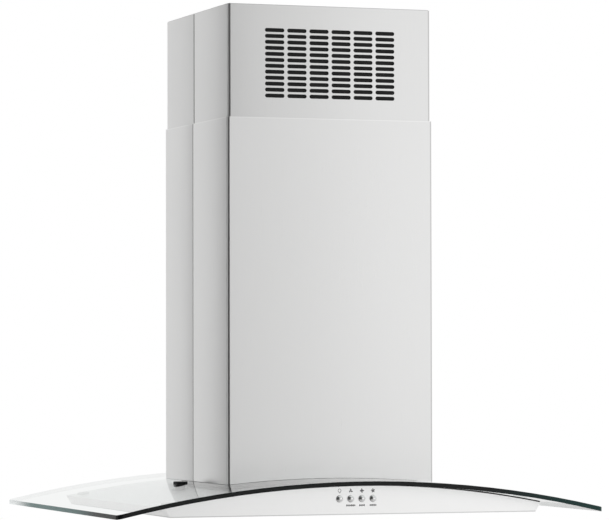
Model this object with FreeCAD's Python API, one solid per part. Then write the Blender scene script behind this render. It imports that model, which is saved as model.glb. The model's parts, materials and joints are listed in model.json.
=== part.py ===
"""Island range hood: a curved glass canopy over a thin steel filter body, hung from a ceiling
frame, with a telescoping rectangular chimney around the blower.

Millimetres. +X is to the right, +Y to the back, +Z up. The origin is the centre of the ceiling
plate's top face, where the hood meets the ceiling, so the whole hood hangs at negative Z.
Each function below makes one sub-part, and the list at the end names its file.
"""

import FreeCAD
import Part
import math
import os

# ---------------------------------------------------------------- driving sizes
overall_height = 900.0  # ceiling to the underside of the body, as hung
chimney_width = 390.0  # outside of the lower chimney
chimney_depth = 356.0
upper_chimney_show = 201.0  # what shows of the upper chimney above the lower one
glass_width = 900.0
glass_depth = 700.0
glass_rise = 51.5  # height of the arch over its chord
glass_thickness = 8.0
body_depth = 600.0
body_top_width = 702.0  # the ends lean in towards the bottom
body_bottom_width = 681.0
body_mid_height = 50.5
body_end_height = 16.2
glass_gap = 1.2  # between the glass and the body at mid width
raise_travel = 180.0  # how far the hood can be set higher than it hangs here
lower_travel = 180.0  # and lower

# ---------------------------------------------------------------- sheets, bends and clearances
sheet = 1.0  # stainless sheet of the body and chimney
bend_radius = 5.0  # outside radius of the chimney's corner bends
slide_play = 0.3  # between the lower chimney's laps and the upper chimney
seam_y = 14.0  # where the front and rear chimney halves meet
lower_seam_gap = 2.2
upper_seam_gap = 3.2
lap_width = 12.0  # tongue of a rear half behind its front half
lap_play = 0.1
contact_play = 0.1  # between curved faces of neighbouring pieces
hole_play = 0.2  # radial, round a screw or a bolt

# ---------------------------------------------------------------- chimney
upper_chimney_length = 480.0
ceiling_shadow = 1.0  # the chimney ends this far below the ceiling
chimney_foot_play = 0.3  # above the glass
slot_columns = 6
slot_rows = 12
slot_length = 36.6
slot_height = 7.0
slot_pitch_x = 42.0
slot_pitch_z = 10.6
slot_top = 45.5  # ceiling to the middle of the first row
screen_sheet = 0.8

# ---------------------------------------------------------------- ceiling frame
plate_sheet = 2.0
plate_flange = 25.0
plate_play = 0.3
duct_hole_radius = 85.0
cable_hole_radius = 11.0  # right above the cable gland
mount_hole_radius = 4.25
mount_edge = 19.0  # mounting holes, in from the plate's side edges
mount_spacing_y = 200.0
angle_leg = 25.0
angle_sheet = 2.0
angle_play = 0.35  # between the sliding angles, and under the bolt heads
angle_foot = 40.0
upper_angle_length = 468.0
clamp_radius = 3.0
clamp_head_radius = 5.0
clamp_head = 4.0
clamp_drops = (25.0, 50.0)  # bolt heights, down from the lower angles' tops
slot_play = 0.5
slot_over_travel = 6.0
brace_height = 25.0

# ---------------------------------------------------------------- blower
box_margin_x = 45.0  # chimney outside to blower box, each side
box_margin_y = 43.0
box_height = 300.0  # above the body's crown
box_sheet = 1.0
inlet_margin = 20.0  # box side to the air opening in the body's top
collar_radius = 74.0
collar_wall = 1.0
collar_height = 45.0
collar_flange_width = 16.0
collar_flange = 1.5
flap_sheet = 1.0
flap_play = 1.5
flap_pin_radius = 1.5
flap_pin_play = 0.06
flap_pin_y = 2.8
flap_height = 18.0  # hinge line above the collar's flange
scroll_wall = 2.0
scroll_step = 9.0  # growth of the spiral in each quarter turn
scroll_side_play = 7.0
scroll_width = 144.0
scroll_mouth = 78.0  # outlet's near edge, from the collar's axis
scroll_cutoff = 68.0  # degrees, where the spiral ends and the outlet begins
wheel_radius = 72.0
wheel_inner_radius = 60.0
wheel_width = 130.0
wheel_ring = 3.0
hub_radius = 12.0
hub_length = 16.0
blade_count = 32
blade_sheet = 1.2
inlet_radius = 58.0
motor_radius = 42.0
motor_gap = 8.0  # motor end to the wheel's middle plate
shaft_radius = 4.0
shaft_play = 0.06
hub_play = 0.01
electric_width = 140.0
electric_depth = 30.0
electric_height = 90.0
electric_drop = 46.0  # below the blower box's lid
capacitor_radius = 13.0
gland_radius = 9.0
gland_height = 15.0
cable_radius = 4.0

# ---------------------------------------------------------------- glass fixings
cutout_ledge = 20.0  # chimney outside to the glass's cut-out, each side
cutout_corner = 15.0
glass_corner = 10.0
glass_edge_round = 0.8
seal_width = 8.0
knob_from_chimney = 29.0  # chimney's side to the knob's axis
knob_radius = 13.0
knob_proud = 3.8  # knob's top over the glass at its middle
knob_barrel_radius = 8.0
knob_hole_radius = 9.0
spacer_length = 30.0
spacer_width = 14.0
spacer_inset_x = 20.0
spacer_inset_y = 45.0

# ---------------------------------------------------------------- controls
button_count = 4
button_pitch = 20.8
button_height = 28.0  # above the body's bottom
button_radius = 5.9
button_play = 0.35
button_proud = 4.6
button_dome = 3.0
button_travel = 2.5
button_back = 2.0  # cap behind the fascia's front face
stem_radius = 2.4
stem_collar_radius = 4.0
stem_collar = 1.0
stem_end_play = 0.3
stem_play = 0.08  # radial, in the housing
spring_wire = 0.35
spring_radius = 3.2
spring_turns = 4
housing_gap = 6.0  # fascia front to the switch housing, the caps' room to travel
housing_width = 98.0
housing_depth = 26.0
housing_height = 42.0
housing_wall = 2.0
board_thickness = 1.6
board_inset = 6.0  # board to the housing's back
switch_size = 7.0

# ---------------------------------------------------------------- underside
lip_width = 14.0
panel_play = 0.5
filter_width = 256.0
filter_length = 376.0
filter_thickness = 9.0
filter_raise = 1.5  # filter's underside above the body's bottom
filter_gap = 12.0  # between the two filters
filter_side_play = 1.0
filter_front_play = 2.0
filter_rear_play = 4.5
frame_lip = 16.0
frame_sheet = 1.0
mesh_play = 0.2
mesh_layers = 3
mesh_layer_thickness = 0.6
hinge_setback = 1.8  # hinge line, in from the opening's rear edge
tab_width = 20.0
tab_spread = 80.0
tab_reach = 9.5
latch_width = 40.0
latch_depth = 5.0
latch_travel = 5.0
latch_play = 0.5
latch_room = 14.0
latch_spring_radius = 2.7
latch_spring_x = 12.0  # springs either side of the latch's middle
tongue_width = 20.0
tongue_reach = 7.0
notch_play = 1.2  # each side of a tongue in the panel's notch
tongue_thickness = 1.0
tongue_height = 1.35  # tongue's underside above the panel
keeper_width = 40.0
keeper_thickness = 1.0
keeper_depth = 6.0
keeper_play = 0.4  # in from the opening's edge
tab_thickness = 1.0
tab_height = 0.6
tab_bead_radius = 0.8  # rolled bead across each tab, on the tilt line
pull_width = 24.0
pull_drop = 1.3
lamp_x = 285.0
lamp_y = 235.0
lamp_can_radius = 30.0
lamp_can_height = 20.0
lamp_can_wall = 1.2
lamp_bezel_radius = 36.0
lamp_window_radius = 26.5
lens_thickness = 2.0
lamp_play = 0.3
led_radius = 14.0
led_thickness = 3.0

# ---------------------------------------------------------------- chimney clips and screws
clip_width = 30.0
clip_sheet = 1.5
clip_rise = 25.0
clip_above_crown = 20.0
clip_x = 100.0
screw_radius = 2.0
screw_head_radius = 4.0
screw_head = 1.8
screw_reach = 6.0
upper_screw_x = 120.0
upper_screw_drop = 14.0

# ---------------------------------------------------------------- worked-out sizes
body_bottom = -overall_height
body_crown = body_bottom + body_mid_height
glass_under_crown = body_crown + glass_gap
glass_crown = glass_under_crown + glass_thickness


def arch_radius(chord, rise):
    """Radius of the arc that stands rise high over a chord."""
    return (chord * chord / 4 + rise * rise) / (2 * rise)


glass_radius = arch_radius(glass_width, glass_rise)
body_radius = arch_radius(body_top_width, body_mid_height - body_end_height)
glass_centre_z = glass_crown - glass_radius
body_centre_z = body_crown - body_radius

lower_chimney_top = -upper_chimney_show
chimney_play = lap_play + sheet + slide_play
inside_width = chimney_width - 2 * sheet
inside_depth = chimney_depth - 2 * sheet
upper_width = inside_width - 2 * chimney_play
upper_depth = inside_depth - 2 * chimney_play
plate_width = upper_width - 2 * sheet - 2 * plate_play
plate_depth = upper_depth - 2 * sheet - 2 * plate_play
mount_spacing_x = plate_width - 2 * mount_edge
knob_x = chimney_width / 2 + knob_from_chimney
cutout_width = chimney_width - 2 * cutout_ledge
cutout_depth = chimney_depth - 2 * cutout_ledge

box_width = chimney_width - 2 * box_margin_x
box_depth = chimney_depth - 2 * box_margin_y
gland_x = electric_width / 4
gland_y = box_depth / 2 + electric_depth / 2
box_top = body_crown + box_height
lid_top = box_top
lid_under = box_top - box_sheet
collar_base = lid_top + collar_flange
hinge_z = collar_base + flap_height

panel_under = body_bottom + sheet
panel_top = panel_under + sheet
front_face = -body_depth / 2
fascia_back = front_face + sheet
housing_front = front_face + housing_gap
board_front = housing_front + housing_depth - board_inset - board_thickness
switch_front = board_front - switch_size
stem_collar_front = housing_front + housing_wall + stem_end_play
stem_end = switch_front - button_travel - stem_end_play

filter_under = body_bottom + filter_raise
filter_top = filter_under + filter_thickness
filter_x = (filter_width + filter_gap) / 2
filter_front = -filter_length / 2
filter_rear = filter_length / 2
opening_front = filter_front - filter_front_play
opening_rear = filter_rear + filter_rear_play
tilt_y = opening_rear - hinge_setback
tab_under = panel_top + tab_height
tilt_z = tab_under + tab_thickness / 2
tongue_under = panel_top + tongue_height
notch_back = filter_front + latch_room

scroll_radius = box_depth / 2 - scroll_side_play - scroll_wall - scroll_step
spiral_y = scroll_side_play + box_sheet + scroll_radius - box_depth / 2
spiral_z = body_crown + 16.0 + scroll_radius + scroll_step
axle_y = spiral_y - scroll_step / 2
axle_z = spiral_z - scroll_step / 2

parts = {}


# ---------------------------------------------------------------- shared shapes
def vector(x, y, z):
    return FreeCAD.Vector(x, y, z)


def block(x0, x1, y0, y1, z0, z1):
    """A box between two corners."""
    return Part.makeBox(x1 - x0, y1 - y0, z1 - z0, vector(x0, y0, z0))


def rod(radius, start, end):
    """A cylinder from one point to another."""
    along = end - start
    return Part.makeCylinder(radius, along.Length, start, along)


def ring(outer, inner, start, end):
    """A tube from one point to another, its bore cut clean through."""
    return rod(outer, start, end).cut(rod(inner, start, end))


def rounded_block(width, depth, corner, z0, z1):
    """A box centred on the Z axis with rounded upright edges."""
    x = width / 2
    y = depth / 2
    edges = []
    k = corner * (1 - math.sqrt(0.5))
    for sx, sy in ((1, 1), (-1, 1), (-1, -1), (1, -1)):
        first = vector(sx * x, sy * (y - corner), z0)
        middle = vector(sx * (x - k), sy * (y - k), z0)
        last = vector(sx * (x - corner), sy * y, z0)
        if sx * sy < 0:
            first, last = last, first
        edges.append(Part.Arc(first, middle, last).toShape())
    straights = []
    for i, arc in enumerate(edges):
        after = edges[(i + 1) % 4]
        straights.append(Part.makeLine(arc.Vertexes[-1].Point, after.Vertexes[0].Point))
    loop = [edge for pair in zip(edges, straights) for edge in pair]
    return Part.Face(Part.Wire(loop)).extrude(vector(0, 0, z1 - z0))


def arc_point(radius, centre_z, x, y):
    """Point at x on an arch about the Y direction."""
    return vector(x, y, centre_z + math.sqrt(radius * radius - x * x))


def under_arch(radius, centre_z, half_width, half_depth, floor_z):
    """Everything below an arch, down to a flat floor."""
    left = arc_point(radius, centre_z, -half_width, -half_depth)
    right = arc_point(radius, centre_z, half_width, -half_depth)
    crown = arc_point(radius, centre_z, 0, -half_depth)
    low_left = vector(-half_width, -half_depth, floor_z)
    low_right = vector(half_width, -half_depth, floor_z)
    loop = [
        Part.Arc(left, crown, right).toShape(),
        Part.makeLine(right, low_right),
        Part.makeLine(low_right, low_left),
        Part.makeLine(low_left, left),
    ]
    return Part.Face(Part.Wire(loop)).extrude(vector(0, 2 * half_depth, 0))


def glass_to(offset, half_width=glass_width / 2):
    """Everything below the glass's top surface, moved up by offset."""
    low = body_bottom - 50
    return under_arch(glass_radius + offset, glass_centre_z, half_width, glass_depth / 2 + 5, low)


def gap_between(play):
    """The thin curved space between the body's top and the glass."""
    half = body_top_width / 2
    low = body_bottom - 50
    upper = under_arch(glass_radius - glass_thickness - play, glass_centre_z, half, body_depth / 2, low)
    lower = under_arch(body_radius + play, body_centre_z, half + 1, body_depth / 2 + 1, low - 1)
    return upper.cut(lower)


def below_body_top():
    """Everything below the body's arch, to cut the feet of what stands on it."""
    half = body_top_width / 2
    return under_arch(body_radius + contact_play, body_centre_z, half, body_depth / 2, body_bottom - 50)


def obround_y(x, z, length, height, y0, y1):
    """A slot with round ends, lying along X and cut along Y."""
    reach = (length - height) / 2
    r = height / 2

    def at(dx, dz):
        return vector(x + dx, y0, z + dz)

    loop = [
        Part.makeLine(at(-reach, -r), at(reach, -r)),
        Part.Arc(at(reach, -r), at(reach + r, 0), at(reach, r)).toShape(),
        Part.makeLine(at(reach, r), at(-reach, r)),
        Part.Arc(at(-reach, r), at(-reach - r, 0), at(-reach, -r)).toShape(),
    ]
    return Part.Face(Part.Wire(loop)).extrude(vector(0, y1 - y0, 0))


def coil(start, length, radius):
    """A compression spring along +Y, starting at a point: wire swept along a curve through a helix."""
    points = []
    steps = 16 * spring_turns
    for i in range(steps + 1):
        turn = 2 * math.pi * spring_turns * i / steps
        y = spring_wire + (length - 2 * spring_wire) * i / steps
        points.append(start + vector(radius * math.cos(turn), y, radius * math.sin(turn)))
    path = Part.BSplineCurve()
    path.interpolate(points)
    end = Part.makeCircle(spring_wire, points[0], path.tangent(path.FirstParameter)[0])
    return Part.Wire(path.toShape()).makePipeShell([Part.Wire(end)], True, True)


def both_sides(right):
    """A shape on the right and its mirror image on the left."""
    return [right, right.mirror(vector(0, 0, 0), vector(1, 0, 0))]


def body_profile(inset):
    """Cross-section of the body in X and Z: arched top, leaning ends, flat bottom."""
    radius = body_radius - inset
    top = body_top_width / 2
    bottom = body_bottom_width / 2
    lean = (top - bottom) / body_end_height
    shift = inset * math.sqrt(1 + lean * lean)
    foot = bottom - shift
    if inset:
        foot = foot - lean * 2  # the inner profile runs on 2 mm below the bottom
    floor_z = body_bottom - (2 if inset else 0)
    # where the leaning end meets the arch, found by a few Newton steps
    x = top - shift
    for _ in range(20):
        on_end = floor_z + (x - foot) / lean
        on_arch = body_centre_z + math.sqrt(radius * radius - x * x)
        slope = 1 / lean + x / math.sqrt(radius * radius - x * x)
        x -= (on_end - on_arch) / slope
    return radius, x, foot, floor_z


def body_slug(inset, half_depth):
    """The body's section run along Y as a solid."""
    radius, top_x, foot_x, floor_z = body_profile(inset)
    left = arc_point(radius, body_centre_z, -top_x, -half_depth)
    right = arc_point(radius, body_centre_z, top_x, -half_depth)
    crown = arc_point(radius, body_centre_z, 0, -half_depth)
    low_left = vector(-foot_x, -half_depth, floor_z)
    low_right = vector(foot_x, -half_depth, floor_z)
    loop = [
        Part.Arc(left, crown, right).toShape(),
        Part.makeLine(right, low_right),
        Part.makeLine(low_right, low_left),
        Part.makeLine(low_left, left),
    ]
    return Part.Face(Part.Wire(loop)).extrude(vector(0, 2 * half_depth, 0))


# ---------------------------------------------------------------- body and underside
def body_shell():
    """Arched top and the two leaning ends, with a lip under each end."""
    reach = body_depth / 2 - sheet
    shell = body_slug(0, reach).cut(body_slug(sheet, reach))
    half_air_x = box_width / 2 - inlet_margin
    half_air_y = box_depth / 2 - inlet_margin
    shell = shell.cut(
        block(-half_air_x, half_air_x, -half_air_y, half_air_y, body_crown - 30, body_crown + 5)
    )
    hole = knob_barrel_radius + contact_play
    for x in (-knob_x, knob_x):
        shell = shell.cut(rod(hole, vector(x, 0, body_bottom + 10), vector(x, 0, 0)))
    foot = body_profile(sheet)[2] + 2 * (body_top_width - body_bottom_width) / 2 / body_end_height
    lip = block(foot - lip_width, foot + 0.4, -reach, reach, body_bottom, panel_under)
    return shell.fuse(both_sides(lip)).removeSplitter()


def fascia(front):
    """Front or rear plate of the body with its bottom lip; the front one has the button holes."""
    side = -1 if front else 1
    plate = body_slug(0, body_depth / 2)
    keep = block(-500, 500, -body_depth / 2, -body_depth / 2 + sheet, body_bottom, body_crown + 10)
    plate = plate.common(keep)
    half = body_bottom_width / 2 - 2 * sheet - lip_width
    lip = block(-half, half, -body_depth / 2 + sheet, -body_depth / 2 + lip_width, body_bottom, panel_under)
    plate = plate.fuse(lip).removeSplitter()
    if front:
        z = body_bottom + button_height
        hole = button_radius + button_play
        for x in button_places():
            plate = plate.cut(rod(hole, vector(x, front_face - 5, z), vector(x, fascia_back + 5, z)))
        return plate
    return plate.mirror(vector(0, 0, 0), vector(0, side, 0))


def button_places():
    first = -(button_count - 1) * button_pitch / 2
    return [first + i * button_pitch for i in range(button_count)]


def lamp_places():
    return [(sx * lamp_x, sy * lamp_y) for sx in (-1, 1) for sy in (-1, 1)]


def underside_panel():
    """Flat plate above the lips with two filter openings, four lamp holes and the latch notches."""
    foot = body_profile(sheet)[2]
    half_x = foot + (2 + sheet) * (body_top_width - body_bottom_width) / 2 / body_end_height - panel_play
    half_y = body_depth / 2 - sheet - panel_play
    plate = block(-half_x, half_x, -half_y, half_y, panel_under, panel_top)
    half_opening = filter_width / 2 + filter_side_play
    half_notch = tongue_width / 2 + notch_play
    z0 = panel_under - 1
    z1 = panel_top + 1
    cuts = []
    for x in (-filter_x, filter_x):
        far = opening_front - tongue_reach
        cuts.append(block(x - half_opening, x + half_opening, opening_front, opening_rear, z0, z1))
        cuts.append(block(x - half_notch, x + half_notch, far, opening_front + 1, z0, z1))
    for x, y in lamp_places():
        cuts.append(rod(lamp_can_radius + lamp_play, vector(x, y, z0), vector(x, y, z1)))
    return plate.cut(cuts)


# ---------------------------------------------------------------- glass and its fixings
def glass_canopy():
    """Curved tempered sheet with a cut-out for the blower and two knob holes."""
    low = body_bottom - 50
    under_radius = glass_radius - glass_thickness
    reach = (glass_width / 2 + 9, glass_depth / 2 + 9)
    slab = glass_to(0, glass_width / 2 + 5).cut(under_arch(under_radius, glass_centre_z, *reach, low - 5))
    slab = slab.common(rounded_block(glass_width, glass_depth, glass_corner, low, 0))
    long_edges = [edge for edge in slab.Edges if edge.Length > 10 * glass_corner]
    slab = slab.makeFillet(glass_edge_round, long_edges)
    cutout = rounded_block(cutout_width, cutout_depth, cutout_corner, low, 0)
    holes = [rod(knob_hole_radius, vector(x, 0, low), vector(x, 0, 0)) for x in (-knob_x, knob_x)]
    return slab.cut([cutout] + holes)


def glass_knobs():
    """Black knobs on their barrels, standing upright through the sloping glass."""
    x = knob_x
    on_glass = glass_crown - (glass_radius - math.sqrt(glass_radius**2 - knob_x**2))
    top = on_glass + knob_proud
    cap = rod(knob_radius, vector(x, 0, on_glass - 6), vector(x, 0, top))
    rim = max(cap.Edges, key=lambda edge: edge.BoundBox.ZMin if edge.Length > knob_radius * 3 else -1e9)
    cap = cap.makeChamfer(0.7, [rim])
    cap = cap.cut(glass_to(contact_play))
    seat = body_crown - (body_radius - math.sqrt(body_radius**2 - knob_x**2)) - 6
    barrel = rod(knob_barrel_radius, vector(x, 0, seat), vector(x, 0, top - 1))
    return Part.makeCompound(both_sides(cap.fuse(barrel).removeSplitter()))


def glass_spacers():
    """Rubber pads that carry the glass at the body's corners and round the knobs."""
    gap = gap_between(contact_play)
    low = body_bottom - 10
    pads = []
    x = body_top_width / 2 - spacer_inset_x
    y = body_depth / 2 - spacer_inset_y
    for sx in (-1, 1):
        for sy in (-1, 1):
            x0 = sx * x - spacer_width / 2
            y0 = sy * y - spacer_length / 2
            pads.append(gap.common(block(x0, x0 + spacer_width, y0, y0 + spacer_length, low, 0)))
        middle = vector(sx * knob_x, 0, low)
        washer = ring(knob_radius + 3, knob_hole_radius, middle, vector(sx * knob_x, 0, 0))
        pads.append(gap.common(washer))
    return Part.makeCompound(pads)


def glass_seal():
    """Foam strip between the body and the glass, all round the cut-out."""
    low = body_bottom - 10
    outer_size = (cutout_width + 2 * seal_width, cutout_depth + 2 * seal_width)
    outer = rounded_block(*outer_size, cutout_corner, low, 0)
    inner = rounded_block(cutout_width, cutout_depth, cutout_corner - seal_width / 2, low, 0)
    return gap_between(contact_play).common(outer.cut(inner))


# ---------------------------------------------------------------- chimney
def chimney_half(front, width, depth, z0, z1, gap, lap_z1):
    """One U-shaped half. The rear half has a tongue inside each side that laps the front half."""
    tube = rounded_block(width, depth, bend_radius, z0, z1)
    hollow = rounded_block(width - 2 * sheet, depth - 2 * sheet, bend_radius - sheet, z0 - 1, z1 + 1)
    tube = tube.cut(hollow)
    if front:
        return tube.common(block(-width, width, -depth, seam_y - gap / 2, z0 - 1, z1 + 1))
    half = tube.common(block(-width, width, seam_y + gap / 2, depth, z0 - 1, z1 + 1))
    inner = width / 2 - sheet
    root = seam_y + gap / 2 + lap_width
    tongue = block(inner - lap_play - sheet, inner - lap_play, seam_y - lap_width, root, z0 + 1, lap_z1)
    joggle = block(inner - lap_play, inner, seam_y + gap / 2 + 1, root, z0 + 1, lap_z1)
    return half.fuse(both_sides(tongue.fuse(joggle))).removeSplitter()


def vent_slots(y0, y1):
    """The grid of slots near the top of an upper chimney half."""
    slots = []
    first_x = -(slot_columns - 1) * slot_pitch_x / 2
    for column in range(slot_columns):
        for row in range(slot_rows):
            x = first_x + column * slot_pitch_x
            z = -slot_top - row * slot_pitch_z
            slots.append(obround_y(x, z, slot_length, slot_height, y0, y1))
    return slots


def upper_chimney(front):
    """Upper half with its vent slots, hung from the ceiling plate."""
    bottom = -ceiling_shadow - upper_chimney_length
    lap_top = -plate_sheet - plate_flange - 3
    half = chimney_half(
        front, upper_width, upper_depth, bottom, -ceiling_shadow, upper_seam_gap, lap_top
    )
    face = upper_depth / 2
    if front:
        return half.cut(vent_slots(-face - 5, -face + 5))
    half = half.cut(vent_slots(face - 5, face + 5))
    for x in (-upper_screw_x, upper_screw_x):
        hole = rod(
            screw_radius + hole_play,
            vector(x, face - 5, -upper_screw_drop),
            vector(x, face + 5, -upper_screw_drop),
        )
        half = half.cut(hole)
    return half


def vent_screens():
    """Dark backing sheets inside the upper chimney, behind the slots front and rear."""
    x = (slot_columns * slot_pitch_x) / 2
    y1 = upper_depth / 2 - sheet - contact_play
    z1 = -slot_top + slot_pitch_z
    z0 = -slot_top - slot_rows * slot_pitch_z
    rear = block(-x, x, y1 - screen_sheet, y1, z0, z1)
    return Part.makeCompound([rear, rear.mirror(vector(0, 0, 0), vector(0, 1, 0))])


def lower_chimney(front):
    """Lower half, its bottom edge cut to the curve of the glass it stands on."""
    foot = body_bottom + body_end_height
    half = chimney_half(
        front, chimney_width, chimney_depth, foot, lower_chimney_top, lower_seam_gap, lower_chimney_top - 1
    )
    half = half.cut(glass_to(chimney_foot_play))
    if not front:
        for x, z in clip_screw_places():
            y = chimney_depth / 2
            half = half.cut(rod(screw_radius + hole_play, vector(x, y - 5, z), vector(x, y + 5, z)))
    return half


def clip_screw_places():
    z = body_crown + clip_above_crown + clip_rise / 2 + clip_sheet
    return [(-clip_x, z), (clip_x, z)]


def chimney_clips():
    """Z-shaped clips from the blower box to the foot of the lower chimney, front and rear."""
    clips = []
    base = body_crown + clip_above_crown
    box_y = box_depth / 2
    wall_y = inside_depth / 2
    for x in (-clip_x, clip_x):
        x0 = x - clip_width / 2
        x1 = x + clip_width / 2
        on_box = block(x0, x1, box_y, box_y + clip_sheet, base, base + clip_rise)
        arm = block(x0, x1, box_y, wall_y, base, base + clip_sheet)
        on_wall = block(x0, x1, wall_y - clip_sheet, wall_y, base, base + clip_rise)
        clip = on_box.fuse([arm, on_wall]).removeSplitter()
        z = clip_screw_places()[0][1]
        screw_hole = rod(screw_radius + hole_play, vector(x, wall_y - 5, z), vector(x, wall_y + 5, z))
        clips.append(clip.cut(screw_hole))  # the rear clips take the screws, the front ones only hook
        clips.append(clip.mirror(vector(0, 0, 0), vector(0, 1, 0)))
    return Part.makeCompound(clips)


def screw(x, outer_y, z):
    """Pan-head screw driven towards -Y, its head seated at outer_y."""
    shank = rod(screw_radius, vector(x, outer_y - screw_reach, z), vector(x, outer_y, z))
    head = rod(screw_head_radius, vector(x, outer_y, z), vector(x, outer_y + screw_head, z))
    rim = [edge for edge in head.Edges if edge.BoundBox.YMin > outer_y + screw_head / 2]
    head = head.makeFillet(screw_head * 0.6, rim[:1])
    recess = block(x - 2.2, x + 2.2, outer_y + screw_head - 0.8, outer_y + screw_head + 1, z - 0.4, z + 0.4)
    cross = block(x - 0.4, x + 0.4, outer_y + screw_head - 0.8, outer_y + screw_head + 1, z - 2.2, z + 2.2)
    return head.fuse(shank).cut([recess, cross])


def chimney_screws(upper):
    if upper:
        places = [(-upper_screw_x, upper_depth / 2, -upper_screw_drop)]
        places.append((upper_screw_x, upper_depth / 2, -upper_screw_drop))
    else:
        places = [(x, chimney_depth / 2, z) for x, z in clip_screw_places()]
    return Part.makeCompound([screw(*place) for place in places])


# ---------------------------------------------------------------- ceiling frame
def ceiling_plate():
    """Inverted tray that bolts to the ceiling, open in the middle for the duct."""
    y = plate_depth / 2
    low = -plate_sheet - plate_flange
    inside = (plate_width - 2 * plate_sheet, plate_depth - 2 * plate_sheet)
    tray = rounded_block(plate_width, plate_depth, bend_radius, low, 0)
    cuts = [
        rounded_block(*inside, bend_radius - plate_sheet, low - 1, -plate_sheet),
        rod(duct_hole_radius, vector(0, 0, -10), vector(0, 0, 10)),
        rod(cable_hole_radius, vector(gland_x, gland_y, -10), vector(gland_x, gland_y, 10)),
    ]
    for mx in (-mount_spacing_x / 2, mount_spacing_x / 2):
        for my in (-mount_spacing_y / 2, mount_spacing_y / 2):
            cuts.append(rod(mount_hole_radius, vector(mx, my, -10), vector(mx, my, 10)))
    for sx in (-upper_screw_x, upper_screw_x):
        hole = screw_radius + hole_play
        cuts.append(rod(hole, vector(sx, y - 5, -upper_screw_drop), vector(sx, y + 5, -upper_screw_drop)))
    return tray.cut(cuts)


def angle_bar(corner_x, corner_y, z0, z1):
    """L-shaped bar at the right rear, its outer corner at the given place."""
    side = block(corner_x - angle_sheet, corner_x, corner_y - angle_leg, corner_y, z0, z1)
    back = block(corner_x - angle_leg, corner_x, corner_y - angle_sheet, corner_y, z0, z1)
    return side.fuse(back).removeSplitter()


def front_and_rear(side, bar):
    """A right-rear bar taken to the left if need be, with its mirror image at the front."""
    if side < 0:
        bar = bar.mirror(vector(0, 0, 0), vector(1, 0, 0))
    return Part.makeCompound([bar, bar.mirror(vector(0, 0, 0), vector(0, 1, 0))])


lower_corner_x = box_width / 2 + angle_sheet
lower_corner_y = box_depth / 2 + angle_sheet
upper_corner_x = lower_corner_x + angle_play + angle_sheet
upper_corner_y = lower_corner_y + angle_play + angle_sheet
lower_angle_top = -raise_travel - 20.0
clamp_heights = [lower_angle_top - drop for drop in clamp_drops]
clamp_y = lower_corner_y - angle_leg / 2


def upper_angles(side):
    """Hanger bars under the ceiling plate, with long slots for the clamp bolts."""
    top = -plate_sheet
    x = upper_corner_x
    y = upper_corner_y
    bar = angle_bar(x, y, top - upper_angle_length, top)
    bar = bar.fuse(block(x - angle_foot, x, y - angle_foot, y, top - angle_sheet, top)).removeSplitter()
    highest = max(clamp_heights) + raise_travel + clamp_radius + slot_over_travel
    lowest = min(clamp_heights) - lower_travel - clamp_radius - slot_over_travel
    half = clamp_radius + slot_play
    slot = block(x - 10, x + 10, clamp_y - half, clamp_y + half, lowest, highest)
    return front_and_rear(side, bar.cut(slot))


def lower_angles(side):
    """Upright bars on the corners of the blower box, clamped to the hanger bars."""
    bar = angle_bar(lower_corner_x, lower_corner_y, body_bottom + body_end_height, lower_angle_top)
    bar = bar.cut(below_body_top())
    for z in clamp_heights:
        start = vector(lower_corner_x - 8, clamp_y, z)
        bar = bar.cut(rod(clamp_radius + hole_play, start, vector(lower_corner_x + 8, clamp_y, z)))
    return front_and_rear(side, bar)


def frame_clamp_bolts():
    """Hex bolts and nuts through the slots, two at each corner."""
    bolts = []
    for sx in (-1, 1):
        for sy in (-1, 1):
            for z in clamp_heights:
                y = sy * clamp_y
                outside = sx * (upper_corner_x + angle_play)
                inside = sx * (lower_corner_x - angle_sheet)
                shank = rod(clamp_radius, vector(inside - sx * clamp_head, y, z), vector(outside, y, z))
                head = hexagon(outside, y, z, sx * clamp_head)
                nut = hexagon(inside, y, z, -sx * clamp_head)
                bolts.append(shank.fuse([head, nut]).removeSplitter())
    return Part.makeCompound(bolts)


def hexagon(x, y, z, length):
    """Hexagonal prism along X."""
    points = []
    for i in range(7):
        turn = math.radians(60 * i)
        across = clamp_head_radius * math.cos(turn)
        points.append(vector(x, y + across, z + clamp_head_radius * math.sin(turn)))
    return Part.Face(Part.makePolygon(points)).extrude(vector(length, 0, 0))


def frame_braces():
    """Straps that tie the lower angles together, front and rear."""
    z1 = min(clamp_heights) - clamp_head_radius - 10
    z0 = z1 - brace_height
    y = box_depth / 2
    x = box_width / 2
    rear = block(-x, x, y - angle_sheet, y, z0, z1)
    return Part.makeCompound([rear, rear.mirror(vector(0, 0, 0), vector(0, 1, 0))])


# ---------------------------------------------------------------- blower
def blower_box():
    """Four walls round the blower, cut at the foot to the body's arch."""
    x = box_width / 2
    y = box_depth / 2
    foot = body_bottom + body_end_height
    walls = block(-x, x, -y, y, foot, lid_under)
    hollow = block(-x + box_sheet, x - box_sheet, -y + box_sheet, y - box_sheet, foot - 1, lid_under + 1)
    return walls.cut([hollow, below_body_top()])


def blower_box_lid():
    """Top plate of the box with the round outlet."""
    x = box_width / 2
    y = box_depth / 2
    plate = block(-x, x, -y, y, lid_under, lid_top)
    opening = rod(collar_radius - collar_wall, vector(0, 0, lid_under - 5), vector(0, 0, lid_top + 5))
    return plate.cut(opening)


def duct_collar():
    """Flanged ring that a round duct slides over, with pin holes for the damper flaps."""
    low = vector(0, 0, lid_top)
    tube = ring(collar_radius, collar_radius - collar_wall, low, vector(0, 0, collar_base + collar_height))
    flange = ring(
        collar_radius + collar_flange_width,
        collar_radius - collar_wall,
        low,
        vector(0, 0, collar_base),
    )
    collar = tube.fuse(flange).removeSplitter()
    reach = collar_radius + 5
    for y in (-flap_pin_y, flap_pin_y):
        hole = rod(flap_pin_radius + flap_pin_play, vector(-reach, y, hinge_z), vector(reach, y, hinge_z))
        collar = collar.cut(hole)
    return collar


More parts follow.
